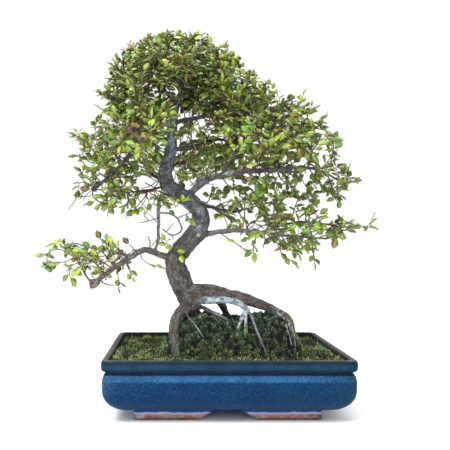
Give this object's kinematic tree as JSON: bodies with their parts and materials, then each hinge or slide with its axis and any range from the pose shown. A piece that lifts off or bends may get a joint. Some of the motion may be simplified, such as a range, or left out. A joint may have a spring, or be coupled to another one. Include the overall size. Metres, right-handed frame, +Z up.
{
  "type": "bonsai tree",
  "caption": "Chinese elm bonsai with an S-shaped trunk, exposed roots on a mossy mound and leafy boughs, in a rectangular glazed pot on low feet.",
  "frame": {"origin": "middle of the object's own box, on the surface that the feet stand on", "axes": "+Z up, +X to the right and +Y to the back as seen from the tree's front"},
  "size_m": [0.4462, 0.239, 0.4984],
  "materials": {
    "glaze": "speckled blue gloss, bare red clay feet",
    "mossy_soil": "damp soil grown over with moss",
    "bark": "rough grey-brown bark",
    "leaf_green": "semi-gloss leaf",
    "leaf_yellow_green": "semi-gloss leaf",
    "leaf_dark_green": "semi-gloss leaf",
    "screen_plastic": "matte"
  },
  "bodies": {
    "root": {"drain_screen_left": "screen_plastic", "drain_screen_right": "screen_plastic", "pot": "glaze", "soil": "mossy_soil", "spray_apex_back_1": "leaf_yellow_green", "spray_apex_front_1": "leaf_dark_green", "spray_apex_left_1": "leaf_dark_green", "spray_apex_left_2": "leaf_green", "spray_apex_right_1": "leaf_yellow_green", "spray_apex_right_2": "leaf_dark_green", "spray_apex_right_3": "leaf_green", "spray_apex_up_1": "leaf_yellow_green", "spray_apex_up_2": "leaf_dark_green", "spray_apex_up_3": "leaf_green", "spray_back_1": "leaf_green", "spray_back_2": "leaf_yellow_green", "spray_back_3": "leaf_dark_green", "spray_back_left_1": "leaf_yellow_green", "spray_back_left_2": "leaf_dark_green", "spray_crown_right_1": "leaf_yellow_green", "spray_crown_right_2": "leaf_dark_green", "spray_crown_right_3": "leaf_green", "spray_crown_right_4": "leaf_yellow_green", "spray_front_left_1": "leaf_dark_green", "spray_front_left_2": "leaf_green", "spray_left_twig_1": "leaf_green", "spray_low_twig_1": "leaf_yellow_green", "spray_lower_left_1": "leaf_yellow_green", "spray_lower_left_2": "leaf_dark_green", "spray_lower_left_3": "leaf_green", "spray_lower_left_4": "leaf_yellow_green", "spray_lower_right_1": "leaf_green", "spray_lower_right_2": "leaf_yellow_green", "spray_lower_right_4": "leaf_green", "spray_lower_right_5": "leaf_yellow_green", "spray_lower_right_upper_1": "leaf_dark_green", "spray_lower_right_upper_2": "leaf_green", "spray_middle_left_1": "leaf_dark_green", "spray_middle_left_2": "leaf_green", "spray_middle_left_3": "leaf_yellow_green", "spray_middle_left_4": "leaf_dark_green", "spray_middle_right_2": "leaf_yellow_green", "spray_middle_right_3": "leaf_dark_green", "spray_middle_right_4": "leaf_green", "spray_second_right_1": "leaf_yellow_green", "spray_second_right_2": "leaf_dark_green", "spray_upper_right_1": "leaf_green", "spray_upper_right_2": "leaf_yellow_green", "spray_upper_right_3": "leaf_dark_green", "spray_upper_right_4": "leaf_green", "spray_upper_right_5": "leaf_yellow_green", "spray_upper_right_fork_1": "leaf_dark_green", "spray_upper_right_fork_2": "leaf_green", "trunk": "bark"}
  },
  "joints": []
}
